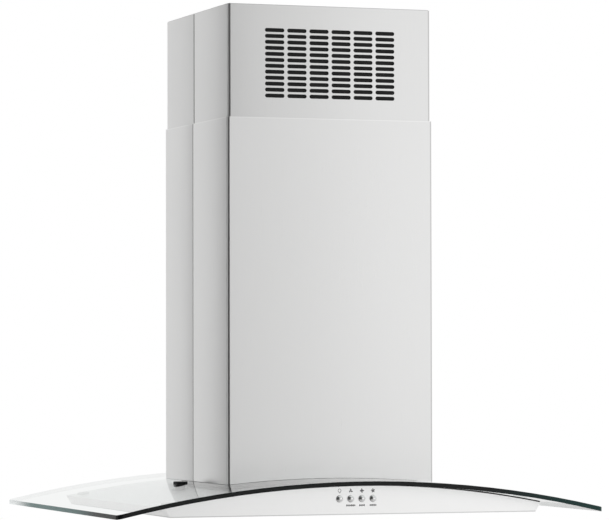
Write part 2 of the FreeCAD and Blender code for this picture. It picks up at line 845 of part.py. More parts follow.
def damper_flap(side):
    """Half-round flap on its own pin; it lies level when the fan is off."""
    radius = collar_radius - collar_wall - flap_play
    plate = rod(radius, vector(0, 0, hinge_z - flap_sheet / 2), vector(0, 0, hinge_z + flap_sheet / 2))
    edge = flap_pin_y
    keep = block(-radius, radius, edge, radius + 1, hinge_z - 5, hinge_z + 5)
    plate = plate.common(keep)
    pin_end = math.sqrt(collar_radius**2 - flap_pin_y**2) - 0.3
    pin = rod(flap_pin_radius, vector(-pin_end, edge, hinge_z), vector(pin_end, edge, hinge_z))
    flap = plate.fuse(pin).removeSplitter()
    return flap if side > 0 else flap.mirror(vector(0, 0, 0), vector(0, 1, 0))


def spiral_solid(inset, half_width):
    """Scroll outline, four quarter arcs and an upward outlet, run along X."""
    r4 = scroll_radius + scroll_step - inset
    r3 = r4 - scroll_step
    r2 = r3 - scroll_step
    r1 = r2 - scroll_step
    x = -half_width
    top = lid_under + (1 if inset else 0)

    def point(y, z):
        return vector(x, y, z)

    def quarter(cy, cz, radius, from_degrees, to_degrees):
        at = [math.radians(a) for a in (from_degrees, (from_degrees + to_degrees) / 2, to_degrees)]
        marks = [point(cy + radius * math.cos(a), cz + radius * math.sin(a)) for a in at]
        return Part.Arc(*marks).toShape()

    c4 = (spiral_y, spiral_z)
    c3 = (c4[0], c4[1] - scroll_step)
    c2 = (c3[0] - scroll_step, c3[1])
    c1 = (c2[0], c2[1] + scroll_step)
    last = quarter(c1[0], c1[1], r1, 90, scroll_cutoff)
    end = last.Vertexes[-1].Point
    mouth = point(1.5 * inset - scroll_mouth, top)
    loop = [
        Part.makeLine(point(c4[0] + r4, top), point(c4[0] + r4, c4[1])),
        quarter(c4[0], c4[1], r4, 0, -90),
        quarter(c3[0], c3[1], r3, -90, -180),
        quarter(c2[0], c2[1], r2, 180, 90),
        last,
        Part.makeLine(end, mouth),
        Part.makeLine(mouth, point(c4[0] + r4, top)),
    ]
    return Part.Face(Part.Wire(loop)).extrude(vector(2 * half_width, 0, 0))


def scroll_half(side):
    """Left or right half of the plastic scroll, with its round air inlet."""
    half_width = scroll_width / 2
    shell = spiral_solid(0, half_width).cut(spiral_solid(scroll_wall, half_width - scroll_wall))
    reach = half_width + 5
    shell = shell.cut(rod(inlet_radius, vector(-reach, axle_y, axle_z), vector(reach, axle_y, axle_z)))
    x0, x1 = sorted((0, side * half_width * 2))
    return shell.common(block(x0, x1, -box_depth, box_depth, body_bottom, 0))


def fan_wheel():
    """Double-inlet squirrel-cage wheel: middle plate, end rings and blades."""
    half = wheel_width / 2

    def at(x):
        return vector(x, axle_y, axle_z)

    bore = shaft_radius + hub_play
    plate = ring(wheel_radius, bore, at(-blade_sheet), at(blade_sheet))
    hub = ring(hub_radius, bore, at(0), at(hub_length))
    rings = [
        ring(wheel_radius, wheel_inner_radius, at(half - wheel_ring), at(half)),
        ring(wheel_radius, wheel_inner_radius, at(-half), at(-half + wheel_ring)),
    ]
    blades = []
    for i in range(blade_count):
        blade = block(
            -half + 0.5,
            half - 0.5,
            axle_y + wheel_inner_radius + 0.5,
            axle_y + wheel_radius - 0.5,
            axle_z - blade_sheet / 2,
            axle_z + blade_sheet / 2,
        )
        lean = vector(0, axle_y + wheel_inner_radius + 0.5, axle_z)
        blade.rotate(lean, vector(1, 0, 0), 28)
        blade.rotate(at(0), vector(1, 0, 0), 360.0 * i / blade_count)
        blades.append(blade)
    limit = rod(wheel_radius, at(-half), at(half))
    blades = [blade.common(limit) for blade in blades]
    return plate.fuse([hub] + rings + blades)


def motor():
    """Motor can inside the left of the wheel, with a bore for the turning shaft."""
    inner = -motor_gap
    outer = -wheel_width / 2 + 3

    def at(x):
        return vector(x, axle_y, axle_z)

    can = rod(motor_radius, at(outer), at(inner))
    ends = [edge for edge in can.Edges if edge.Length > 4 * motor_radius]
    can = can.makeFillet(5, ends)
    boss = rod(motor_radius / 2, at(-scroll_width / 2 - 1), at(outer))
    return can.fuse(boss).cut(rod(shaft_radius + shaft_play, at(-scroll_width), at(20)))


def motor_shaft():
    start = vector(-scroll_width / 2 + 2, axle_y, axle_z)
    return rod(shaft_radius, start, vector(24, axle_y, axle_z))


def motor_bracket():
    """Three-armed spider that carries the motor in the left inlet."""
    x1 = -scroll_width / 2
    x0 = x1 - 3

    def at(x):
        return vector(x, axle_y, axle_z)

    outer = ring(inlet_radius + 9, inlet_radius - 1, at(x0), at(x1))
    plate = rod(motor_radius / 2 + 6, at(x0), at(x1 - 1))
    arms = []
    for i in range(3):
        arm = block(x0, x1 - 1, axle_y + 10, axle_y + inlet_radius, axle_z - 6, axle_z + 6)
        arm.rotate(at(0), vector(1, 0, 0), 90 + 120 * i)
        arms.append(arm)
    return outer.fuse([plate] + arms).cut(rod(shaft_radius + 1, at(x0 - 1), at(x1 + 1))).removeSplitter()


def electrical_box():
    """Open tray for the wiring on the back of the blower box."""
    x = electric_width / 2
    y0 = box_depth / 2
    y1 = y0 + electric_depth
    z1 = lid_top - electric_drop
    z0 = z1 - electric_height
    tray = block(-x, x, y0, y1, z0, z1)
    tray = tray.cut(block(-x + sheet, x - sheet, y0 + sheet, y1 + 1, z0 + sheet, z1 - sheet))
    hole = gland_radius - 2 + hole_play
    return tray.cut(rod(hole, vector(gland_x, gland_y, z1 - 5), vector(gland_x, gland_y, z1 + 5)))


def electrical_cover():
    x = electric_width / 2
    y1 = box_depth / 2 + electric_depth
    z1 = lid_top - electric_drop
    return block(-x, x, y1, y1 + sheet, z1 - electric_height, z1)


def capacitor():
    """Run capacitor of the motor, lying in the electrical box."""
    y = box_depth / 2 + electric_depth / 2
    z = lid_top - electric_drop - electric_height + capacitor_radius + 3
    can = rod(capacitor_radius, vector(-50, y, z), vector(20, y, z))
    return can.makeFillet(2, [edge for edge in can.Edges if edge.Length > 4 * capacitor_radius])


def cable_gland():
    """Plastic gland in the top of the electrical box where the supply cable enters."""
    x = gland_x
    y = gland_y
    z = lid_top - electric_drop
    neck = rod(gland_radius - 2, vector(x, y, z - sheet - 3), vector(x, y, z))
    nut = rod(gland_radius, vector(x, y, z), vector(x, y, z + gland_height * 0.5))
    dome = Part.makeCone(
        gland_radius, gland_radius * 0.65, gland_height * 0.5, vector(x, y, z + gland_height * 0.5)
    )
    gland = neck.fuse([nut, dome]).removeSplitter()
    return gland.cut(rod(cable_radius, vector(x, y, z - 20), vector(x, y, z + 30)))


# ---------------------------------------------------------------- controls
def button(x):
    """Domed metal cap on a stem; a collar behind the housing's wall keeps it in."""
    z = body_bottom + button_height

    def at(y):
        return vector(x, y, z)

    front = front_face - button_proud
    dome_radius = arch_radius(2 * button_radius, button_dome)
    cap = rod(button_radius, at(front), at(front_face + button_back))
    cap = cap.common(Part.makeSphere(dome_radius, at(front + dome_radius)))
    stem = rod(stem_radius, at(front_face), at(stem_end))
    collar = rod(stem_collar_radius, at(stem_collar_front), at(stem_collar_front + stem_collar))
    return cap.fuse([stem, collar]).removeSplitter()


def button_spring(x):
    """Return spring between a button's collar and its switch."""
    start = stem_collar_front + stem_collar + contact_play
    z = body_bottom + button_height
    return coil(vector(x, start, z), switch_front - contact_play - start, spring_radius)


def switch_housing():
    """Plastic box behind the fascia, standing on the underside panel."""
    x = housing_width / 2
    y0 = housing_front
    y1 = housing_front + housing_depth
    z0 = panel_top
    z1 = z0 + housing_height
    shell = block(-x, x, y0, y1, z0, z1)
    w = housing_wall
    shell = shell.cut(block(-x + w, x - w, y0 + w, y1 - w, z0 + w, z1 - w))
    z = body_bottom + button_height
    hole = stem_radius + stem_play
    holes = [rod(hole, vector(bx, y0 - 1, z), vector(bx, y0 + w + 1, z)) for bx in button_places()]
    return shell.cut(holes)


def switch_board():
    """Circuit board with one small switch behind each button."""
    x = housing_width / 2 - housing_wall
    z0 = panel_top + housing_wall
    z1 = z0 + housing_height - 2 * housing_wall
    board = block(-x, x, board_front, board_front + board_thickness, z0, z1)
    z = body_bottom + button_height
    half = switch_size / 2
    for bx in button_places():
        board = board.fuse(block(bx - half, bx + half, switch_front, board_front, z - half, z + half))
    return board.removeSplitter()


# ---------------------------------------------------------------- filters
def filter_pocket(x, margin):
    """Room for the latch in the middle of a filter's front edge, grown by a margin."""
    half = latch_width / 2 + latch_play + margin
    back = notch_back + margin
    return block(x - half, x + half, filter_front - 1, back, filter_under - 1, filter_top + 1)


def filter_frame(side):
    """Channel frame round the mesh, with a lined latch pocket and two hook tabs at the rear."""
    x = side * filter_x
    hx = filter_width / 2
    s = frame_sheet
    y0 = filter_front
    y1 = filter_rear
    frame = block(x - hx, x + hx, y0, y1, filter_under, filter_top)
    channel = block(x - hx + s, x + hx - s, y0 + s, y1 - s, filter_under + s, filter_top - s)
    channel = channel.cut(filter_pocket(x, s))
    window = block(
        x - hx + frame_lip,
        x + hx - frame_lip,
        filter_front + frame_lip,
        filter_rear - frame_lip,
        filter_under - 1,
        filter_top + 1,
    )
    frame = frame.cut([channel, window, filter_pocket(x, 0)])
    tabs = []
    for tx in (x - tab_spread, x + tab_spread):
        x0, x1 = tx - tab_width / 2, tx + tab_width / 2
        tabs.append(block(x0, x1, y1 - s, y1 + tab_reach, tab_under, tab_under + tab_thickness))
        tabs.append(rod(tab_bead_radius, vector(x0, tilt_y, tilt_z), vector(x1, tilt_y, tilt_z)))
    return frame.fuse(tabs).removeSplitter()


def filter_mesh(side):
    """Layers of aluminium mesh held in the frame's channel."""
    x = side * filter_x
    hx = filter_width / 2 - frame_sheet - mesh_play
    y0 = filter_front + frame_sheet + mesh_play
    y1 = filter_rear - frame_sheet - mesh_play
    low = filter_under + frame_sheet + mesh_play
    high = filter_top - frame_sheet - mesh_play
    step = (high - low - mesh_layer_thickness) / (mesh_layers - 1)
    layers = []
    for i in range(mesh_layers):
        z = low + i * step
        layer = block(x - hx, x + hx, y0, y1, z, z + mesh_layer_thickness)
        layers.append(layer.cut(filter_pocket(x, frame_sheet + mesh_play)))
    return Part.makeCompound(layers)


def filter_latch(side):
    """Sprung slider with a thumb pull below and a tongue that rests on the keeper."""
    x = side * filter_x
    half = latch_width / 2
    y0 = filter_front + latch_play
    y1 = y0 + latch_depth
    slider = block(x - half, x + half, y0, y1, filter_under, filter_top - 1.5)
    tongue = block(
        x - tongue_width / 2,
        x + tongue_width / 2,
        opening_front - tongue_reach + 2,
        y0,
        tongue_under,
        tongue_under + tongue_thickness,
    )
    pull = block(
        x - pull_width / 2, x + pull_width / 2, y0 + 1, y1 - 1, filter_under - pull_drop, filter_under
    )
    return slider.fuse([tongue, pull]).removeSplitter()


def latch_spring(side):
    start = filter_front + latch_play + latch_depth + contact_play
    length = notch_back - contact_play - start
    z = (filter_under + filter_top) / 2 - 0.5
    places = (side * filter_x - latch_spring_x, side * filter_x + latch_spring_x)
    springs = [coil(vector(x, start, z), length, latch_spring_radius) for x in places]
    return Part.makeCompound(springs)


def filter_keepers():
    """Spring-steel strips across the panel's notches that the latch tongues rest on."""
    strips = []
    for side in (-1, 1):
        x = side * filter_x
        y1 = opening_front - keeper_play
        strips.append(
            block(
                x - keeper_width / 2,
                x + keeper_width / 2,
                y1 - keeper_depth,
                y1,
                panel_top,
                panel_top + keeper_thickness,
            )
        )
    return Part.makeCompound(strips)


# ---------------------------------------------------------------- lamps
def lamp_housings():
    """Round cans above the underside panel, each with a light-emitting disc under its top."""
    cans = []
    for x, y in lamp_places():
        low = vector(x, y, panel_under)
        high = vector(x, y, panel_under + lamp_can_height)
        can = rod(lamp_can_radius, low, high)
        inside = rod(lamp_can_radius - lamp_can_wall, low, vector(x, y, high.z - lamp_can_wall))
        ceiling = high.z - lamp_can_wall
        disc = rod(led_radius, vector(x, y, ceiling - led_thickness), vector(x, y, high.z - 0.5))
        cans.append(can.cut(inside).fuse(disc).removeSplitter())
    return Part.makeCompound(cans)


def lamp_bezels():
    rings = []
    for x, y in lamp_places():
        bezel = ring(
            lamp_bezel_radius, lamp_window_radius, vector(x, y, body_bottom), vector(x, y, panel_under)
        )
        rings.append(bezel)
    return Part.makeCompound(rings)


def lamp_lenses():
    lenses = []
    for x, y in lamp_places():
        low = vector(x, y, panel_under)
        radius = lamp_can_radius - lamp_can_wall - lamp_play
        lenses.append(rod(radius, low, vector(x, y, panel_under + lens_thickness)))
    return Part.makeCompound(lenses)


# ---------------------------------------------------------------- all sub-parts
parts["ceiling_plate"] = ceiling_plate()
parts["upper_chimney_front"] = upper_chimney(True)
parts["upper_chimney_rear"] = upper_chimney(False)
parts["upper_chimney_screws"] = chimney_screws(True)
parts["vent_screens"] = vent_screens()
for side, side_name in ((-1, "left"), (1, "right")):
    parts["upper_angles_" + side_name] = upper_angles(side)
    parts["lower_angles_" + side_name] = lower_angles(side)
    parts["scroll_" + side_name] = scroll_half(side)
    parts["filter_frame_" + side_name] = filter_frame(side)
    parts["filter_mesh_" + side_name] = filter_mesh(side)
    parts["filter_latch_" + side_name] = filter_latch(side)
    parts["latch_springs_" + side_name] = latch_spring(side)
parts["frame_braces"] = frame_braces()
parts["frame_clamp_bolts"] = frame_clamp_bolts()
parts["lower_chimney_front"] = lower_chimney(True)
parts["lower_chimney_rear"] = lower_chimney(False)
parts["lower_chimney_screws"] = chimney_screws(False)
parts["chimney_clips"] = chimney_clips()
parts["body_shell"] = body_shell()
parts["front_fascia"] = fascia(True)
parts["rear_fascia"] = fascia(False)
parts["underside_panel"] = underside_panel()
parts["glass_canopy"] = glass_canopy()
parts["glass_knobs"] = glass_knobs()
parts["glass_spacers"] = glass_spacers()
parts["glass_seal"] = glass_seal()
parts["blower_box"] = blower_box()
parts["blower_box_lid"] = blower_box_lid()
parts["duct_collar"] = duct_collar()
parts["damper_flap_front"] = damper_flap(-1)
parts["damper_flap_rear"] = damper_flap(1)
parts["fan_wheel"] = fan_wheel()
parts["motor"] = motor()
parts["motor_shaft"] = motor_shaft()
parts["motor_bracket"] = motor_bracket()
parts["electrical_box"] = electrical_box()
parts["electrical_cover"] = electrical_cover()
parts["capacitor"] = capacitor()
parts["cable_gland"] = cable_gland()
parts["switch_housing"] = switch_housing()
parts["switch_board"] = switch_board()
for name, x in zip(("light", "low", "medium", "high"), button_places()):
    parts["button_" + name] = button(x)
    parts["button_spring_" + name] = button_spring(x)
parts["filter_keepers"] = filter_keepers()
parts["lamp_housings"] = lamp_housings()
parts["lamp_bezels"] = lamp_bezels()
parts["lamp_lenses"] = lamp_lenses()

os.makedirs("parts", exist_ok=True)
for node, shape in parts.items():
    for solid in shape.Solids:
        if not solid.isValid() or solid.Volume <= 0:
            print("not a sound solid:", node, round(solid.Volume, 1))
    Part.makeCompound(shape.Solids).exportStep(os.path.join("parts", node + ".step"))
print(len(parts), "sub-parts written")
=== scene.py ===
# %% [markdown]
# # An island range hood
# A ceiling-hung cooker hood: a curved sheet of glass over a thin steel body, with a chimney in two
# telescoping halves. The shapes come from the CAD frame. This lesson gives every piece its finish, adds the
# thin printed marks, the edge strip, the woven filter mesh and the return springs, and lights it like a product
# in a studio.

# %% Load the frame
import json
import math

import bmesh
import bpy
import numpy as np
from mathutils import Matrix, Vector


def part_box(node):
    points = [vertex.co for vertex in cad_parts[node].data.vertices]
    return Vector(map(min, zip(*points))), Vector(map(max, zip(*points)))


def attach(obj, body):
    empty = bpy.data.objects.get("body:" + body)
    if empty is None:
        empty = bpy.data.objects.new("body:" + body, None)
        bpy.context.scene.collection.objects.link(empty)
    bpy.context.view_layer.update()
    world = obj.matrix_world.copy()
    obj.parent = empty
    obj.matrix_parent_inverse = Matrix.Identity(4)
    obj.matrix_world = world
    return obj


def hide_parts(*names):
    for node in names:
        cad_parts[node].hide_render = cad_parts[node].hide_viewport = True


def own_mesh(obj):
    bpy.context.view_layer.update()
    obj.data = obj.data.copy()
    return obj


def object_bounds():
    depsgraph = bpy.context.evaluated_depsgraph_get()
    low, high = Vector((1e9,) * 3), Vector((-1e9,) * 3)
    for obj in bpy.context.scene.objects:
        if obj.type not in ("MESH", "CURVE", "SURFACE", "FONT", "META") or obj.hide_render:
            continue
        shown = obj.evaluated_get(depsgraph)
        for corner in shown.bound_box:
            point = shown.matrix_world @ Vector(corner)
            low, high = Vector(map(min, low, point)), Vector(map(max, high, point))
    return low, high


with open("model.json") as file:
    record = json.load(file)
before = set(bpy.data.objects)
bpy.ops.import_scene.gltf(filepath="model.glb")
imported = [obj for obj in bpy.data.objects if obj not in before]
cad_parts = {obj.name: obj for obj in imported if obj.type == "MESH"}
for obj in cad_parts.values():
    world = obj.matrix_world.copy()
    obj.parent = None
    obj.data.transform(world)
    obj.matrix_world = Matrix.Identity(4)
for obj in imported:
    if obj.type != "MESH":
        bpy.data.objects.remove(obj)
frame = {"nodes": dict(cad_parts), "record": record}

cad_box = [list(corner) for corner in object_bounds()]
nodes = frame["nodes"]
slot_of = {part["node"]: part["material_slot"] for part in frame["record"]["subparts"]}
print(len(nodes), "CAD nodes, box", [[round(c, 4) for c in corner] for corner in cad_box])

# %% [markdown]
# ## Shader maths as Python expressions
# A material is a graph of nodes. `Value` wraps one output socket, so that `1 - mask * 0.3` adds its Math
# nodes by itself. `Finish` holds one material and has a single method, `node`, for every other node.


# %% A socket that does maths
class Value:
    """One number coming out of a node; +, - and * add Math nodes."""

    def __init__(self, finish, socket):
        self.finish, self.socket = finish, socket

    def math(self, operation, *others):
        return self.finish.node("Math", {"operation": operation}, self, *others)

    def __add__(self, other):
        return self.math("ADD", other)

    def __mul__(self, other):
        return self.math("MULTIPLY", other)

    def __sub__(self, other):
        return self.math("SUBTRACT", other)

    def __rsub__(self, other):
        return self.finish.node("Math", {"operation": "SUBTRACT"}, other, self)

    __radd__ = __add__
    __rmul__ = __mul__


class Finish:
    """One material. node() takes a node's type, its settings, and its sockets' values or links."""

    def __init__(self, name):
        self.material = bpy.data.materials.new(name)
        self.material.use_nodes = True
        self.tree = self.material.node_tree
        self.tree.nodes.clear()
        self.out = self.tree.nodes.new("ShaderNodeOutputMaterial")

    def node(self, kind, settings=None, *inputs, output=0, **named):
        made = self.tree.nodes.new("ShaderNode" + kind)
        for name, value in (settings or {}).items():
            setattr(made, name, value)
        by_name = [(key.replace("_", " "), value) for key, value in named.items()]
        for key, value in list(enumerate(inputs)) + by_name:
            if isinstance(value, Value):
                self.tree.links.new(value.socket, made.inputs[key])
            elif value is not None:
                made.inputs[key].default_value = value
        return Value(self, made.outputs[output])

    def place(self):
        """Object coordinates, and their three numbers."""
        where = self.node("TexCoord", output="Object")
        split = self.node("SeparateXYZ", None, where)
        axes = [Value(self, split.socket.node.outputs[i]) for i in range(3)]
        return where, *axes

    def smooth(self, value, low, high):
        """0 below low, 1 above high, eased between."""
        return self.node("MapRange", {"interpolation_type": "SMOOTHSTEP"}, value, low, high, 0.0, 1.0)

    def blend(self, factor, a, b):
        """Mixes two colours, each a tuple or a link."""
        made = self.tree.nodes.new("ShaderNodeMix")
        made.data_type = "RGBA"
        for key, value in ((0, factor), (6, a), (7, b)):
            if isinstance(value, Value):
                self.tree.links.new(value.socket, made.inputs[key])
            else:
                made.inputs[key].default_value = value if key == 0 else (*value, 1)
        return Value(self, made.outputs[2])

    def noise(self, where, stretch, detail=2.0, roughness=0.5, shift=(0, 0, 0)):
        """Fractal noise, stretched by a scale for each axis."""
        at = self.node("Mapping", None, where, shift, (0, 0, 0), stretch)
        return self.node("TexNoise", None, at, Scale=1.0, Detail=detail, Roughness=roughness)

    def bump(self, height, strength, distance=0.001, normal=None):
        named = {"Height": height, "Strength": strength, "Distance": distance}
        if normal is not None:
            named["Normal"] = normal
        return self.node("Bump", None, **named)

    def principled(self, **sockets):
        return self.node("BsdfPrincipled", None, **sockets)

    def done(self, surface):
        self.tree.links.new(surface.socket, self.out.inputs["Surface"])
        return self.material


print("shader helpers ready")

# %% [markdown]
# ## Brushed stainless steel
# The chimney and the body are satin stainless: fine scratches all run one way, so the noise is stretched
# more than a hundred times along the grain. The scratches move roughness and bump, and a slow, faint cloud of tone
# keeps a wide sheet from looking like plastic.
#
# A folded sheet is never quite flat: each face bows out a little between its bends, so its reflection slides
# from light to dark across the face. Real bows of half a millimetre could be modelled in the mesh, but turning
# the shading normal does the same and leaves the outline alone. The darker bends, the bright lip on top of the
# lower halves and the tape behind the side seams are tones in the colour, not shapes.


# %% Steel finishes
def brushed_steel(name, grain, tone, roughness=0.3, depth=0.12, half=None, bow=(0.26, 0.62), hem=0.0):
    """grain is the noise's scale for each axis: small along the scratches, large across them.

    half is the node of a chimney half. Its faces' normals lean outwards in proportion to the distance from the
    middle of the face: bowed = N + bow * (offset along the face). bow holds the lean for each metre along the
    front and along a side. hem is the height of a fold along the bottom that looks darker.
    """
    f = Finish(name)
    where, x, y, z = f.place()
    scratch = f.noise(where, grain, detail=3.0, roughness=0.6)
    fine = f.noise(where, tuple(3.1 * g for g in grain), detail=1.0, shift=(3, 1, 2))
    cloud = f.noise(where, (3.0, 3.0, 2.2), detail=2.0)
    shade = 1 + (scratch - 0.5) * 0.05 + (cloud - 0.5) * 0.03
    if hem:
        shade = shade * (1 - f.smooth(z, cad_box[0][2] + hem, cad_box[0][2] + hem * 0.8) * 0.3)
    colour = f.node("CombineColor", None, shade * tone, shade * tone, shade * tone)
    rough = roughness + (scratch - 0.5) * 0.12 + (cloud - 0.5) * 0.04
    leaning = None
    if half:
        low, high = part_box(half)
        middle_y = (low.y + high.y) / 2
        facing = f.node("SeparateXYZ", None, f.node("NewGeometry", output="Normal"))
        faces = facing.socket.node.outputs
        across = (1 - Value(f, faces[0]).math("ABSOLUTE")) * x * bow[0]
        along = (1 - Value(f, faces[1]).math("ABSOLUTE")) * (y - middle_y) * bow[1]
        lean = f.node("CombineXYZ", None, across, along, 0.0)
        leaning = f.node("VectorMath", {"operation": "ADD"}, f.node("NewGeometry", output="Normal"), lean)
        leaning = f.node("VectorMath", {"operation": "NORMALIZE"}, leaning)
        outer_y = max(-low.y, high.y)
        bend_x = f.smooth(x.math("ABSOLUTE"), high.x - bend_reach, high.x - bend_reach * 0.3)
        bend_y = f.smooth(y.math("ABSOLUTE"), outer_y - bend_reach, outer_y - bend_reach * 0.3)
        colour = f.blend(bend_x * bend_y, colour, (tone * bend_tone,) * 3)
        if half.startswith("lower"):
            colour = f.blend(f.smooth(z, high.z - 0.002, high.z - 0.001) * top_lip, colour, (0.95,) * 3)
        if half.endswith("rear"):
            tape = low.y + lap_tape[half[:5]]
            colour = f.blend(f.smooth(y, tape + 0.0002, tape), colour, (0.01,) * 3)
    normal = f.bump(scratch + fine * 0.5, depth, 0.00004, leaning)
    return f.done(f.principled(Base_Color=colour, Metallic=1.0, Roughness=rough, Normal=normal))


bend_reach = 0.0056  # how far in from a corner the darker bend goes
bend_tone = 0.78
top_lip = 0.35  # how much the lower halves' deburred top edge shines
lap_tape = {"upper": 0.0139, "lower": 0.0133}  # how far the painted tape goes along the tongue behind a seam
upright_grain = (1500.0, 1500.0, 9.0)
crossways_grain = (9.0, 1500.0, 1500.0)
finishes = {
    "stainless": brushed_steel("satin stainless upright", upright_grain, 0.74),
}
chimney_bow = {
    "upper_chimney_front": (0.55, 0.5),
    "upper_chimney_rear": (0.55, 0.5),
    "lower_chimney_front": (0.27, 0.6),
    "lower_chimney_rear": (0.27, 0.85),
}
chimney_tone = {"upper": 0.72, "lower": 0.75}
chimney_steel = {
    half: brushed_steel("satin " + half, upright_grain, chimney_tone[half[:5]], half=half, bow=bow)
    for half, bow in chimney_bow.items()
}
fascia_steel = brushed_steel("satin stainless crossways", crossways_grain, 0.955, roughness=0.34, hem=0.002)
panel_steel = brushed_steel("satin stainless underside", (1500.0, 9.0, 1500.0), 0.72)
print("steel finishes:", len(bpy.data.materials))

# %% [markdown]
# ## Plated and painted metal
# Zinc-plated sheet has a dull crystal pattern, small screws are brighter, and painted pieces have an orange
# peel you only see close up.


# %% Plated and painted finishes
def zinc_plate(name, tone):
    """Dull plated sheet: tone and roughness differ a little from one crystal to the next."""
    f = Finish(name)
    where, *_ = f.place()
    cells = f.node("TexVoronoi", {"feature": "F1"}, where, Scale=120.0, output="Color")
    crystal = f.node("SeparateColor", None, cells)
    cloud = f.noise(where, (20.0, 20.0, 20.0), detail=4.0)
    shade = tone + (crystal - 0.5) * 0.08 + (cloud - 0.5) * 0.1
    colour = f.node("CombineColor", None, shade, shade, shade * 1.02)
    rough = 0.42 + (crystal - 0.5) * 0.15
    normal = f.bump(cloud, 0.1, 0.0002)
    return f.done(f.principled(Base_Color=colour, Metallic=1.0, Roughness=rough, Normal=normal))


def bright_metal(name, tone, roughness, wear=0.1):
    """Bare or plated small metal pieces; wear is how much the roughness varies."""
    f = Finish(name)
    where, *_ = f.place()
    smear = f.noise(where, (90.0, 90.0, 90.0), detail=3.0)
    shade = tone + (smear - 0.5) * 0.06
    colour = f.node("CombineColor", None, shade, shade, shade)
    rough = roughness + (smear - 0.5) * wear
    normal = f.bump(smear, 0.04, 0.0001)
    return f.done(f.principled(Base_Color=colour, Metallic=1.0, Roughness=rough, Normal=normal))


def coated(name, colour, roughness, grain=900.0, depth=0.15, spread=0.15, metallic=0.0):
    """Moulded plastic, rubber, paint: a fine texture, and a slow change of tone."""
    f = Finish(name)
    where, *_ = f.place()
    peel = f.noise(where, (grain, grain, grain), detail=2.0)
    cloud = f.noise(where, (25.0, 25.0, 25.0), detail=3.0)
    low = tuple(c * (1 - spread) for c in colour)
    high = tuple(c * (1 + spread) for c in colour)
    tone = f.blend(cloud, low, high)
    rough = roughness + (peel - 0.5) * 0.15 + (cloud - 0.5) * 0.1
    normal = f.bump(peel, depth, 0.0001)
    return f.done(f.principled(Base_Color=tone, Metallic=metallic, Roughness=rough, Normal=normal))


finishes.update(
    zinc_steel=zinc_plate("zinc-plated steel", 0.5),
    fasteners=bright_metal("bright screws and springs", 0.6, 0.25),
    chrome=bright_metal("polished chrome", 0.82, 0.06, 0.03),
    lamp_trim=bright_metal("satin lamp trim", 0.75, 0.22),
    lamp_metal=bright_metal("lamp can", 0.7, 0.35),
    aluminium=bright_metal("filter frame aluminium", 0.72, 0.34),
    black_steel=coated("black vent screen", (0.006, 0.006, 0.006), 0.8),
    black_plastic=coated("satin black plastic", (0.012, 0.012, 0.013), 0.32),
    latch_black=coated("latch plastic", (0.02, 0.02, 0.02), 0.45),
    grey_plastic=coated("moulded grey plastic", (0.16, 0.16, 0.165), 0.5),
    white_plastic=coated("capacitor sleeve", (0.7, 0.69, 0.66), 0.4),
    circuit_board=coated("circuit board", (0.02, 0.12, 0.05), 0.3, grain=300.0),
    motor_paint=coated("motor enamel", (0.03, 0.03, 0.035), 0.35),
    rubber=coated("rubber", (0.02, 0.02, 0.02), 0.75, grain=500.0),
)
print("finishes so far:", sorted(finishes))

# %% [markdown]
# ## Glass
# The canopy's broad faces are clear with a mirror gloss that grows towards grazing angles. The front of its
# polished edge looks nearly black, because light that leaves there has crossed the whole sheet. Towards the
# right tip and round the sides the green shows. Tracing light through tinted glass would give such an edge, but
# slowly and with noise, so its colour is painted by place. Which part of the surface is edge follows from the
# normal: on the broad faces it points nearly straight up or down.


# %% Glass, lens and clear pads
def canopy_glass():
    """Clear panes, where the normal's upright part squared is near 1, and a painted rim everywhere else."""
    f = Finish("canopy glass")
    where, x, y, z = f.place()
    facing = f.node("NewGeometry", output="Normal")
    normal = f.node("SeparateXYZ", None, facing)
    up = Value(f, normal.socket.node.outputs[2])
    edge = f.smooth(up * up, 0.75, 0.45)
    low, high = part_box("glass_canopy")
    streak = f.noise(where, (40.0, 40.0, 400.0), detail=2.0)
    right_tip = f.smooth(x, high.x * 0.45, high.x * 0.98)
    side = f.smooth(x.math("ABSOLUTE"), high.x - 0.004, high.x - 0.001)
    backward = f.smooth(y, low.y, high.y)
    behind = f.smooth(y, high.y * 0.5, high.y)
    black, bottle, violet = (0.003, 0.004, 0.004), (0.008, 0.045, 0.04), (0.2, 0.19, 0.24)
    sea, pale = (0.14, 0.28, 0.27), (0.55, 0.6, 0.6)
    front = f.blend(right_tip, black, bottle)
    flank = f.blend(f.smooth(y, low.y * 0.7, low.y * 0.2), f.blend(backward, black, violet), sea)
    colour = f.blend(behind, f.blend(side, front, flank), pale)
    colour = f.blend((streak - 0.4) * 0.06, colour, (0.4, 0.5, 0.5))
    rim = f.principled(Base_Color=colour, Roughness=0.25, IOR=1.3)
    clear = f.node("BsdfTransparent", None, (0.955, 0.968, 0.966, 1))
    rim = f.node("MixShader", None, behind * 0.85, rim, clear)
    gloss = f.node("BsdfGlossy", None, (1, 1, 1, 1), 0.0)
    fresnel = f.node("Fresnel", None, 1.5)
    outside = 1 - f.node("NewGeometry", output="Backfacing")
    pane = f.node("MixShader", None, fresnel * outside, clear, gloss)
    return f.done(f.node("MixShader", None, edge, pane, rim))


def frosted_lens():
    """White lamp glass with a fine etched grain."""
    f = Finish("frosted lamp lens")
    where, *_ = f.place()
    grain = f.noise(where, (1200.0, 1200.0, 1200.0), detail=2.0)
    tone = f.blend(grain, (0.86, 0.86, 0.84), (0.93, 0.93, 0.91))
    normal = f.bump(grain, 0.2, 0.0002)
    return f.done(f.principled(Base_Color=tone, Roughness=0.35 + grain * 0.1, Normal=normal))


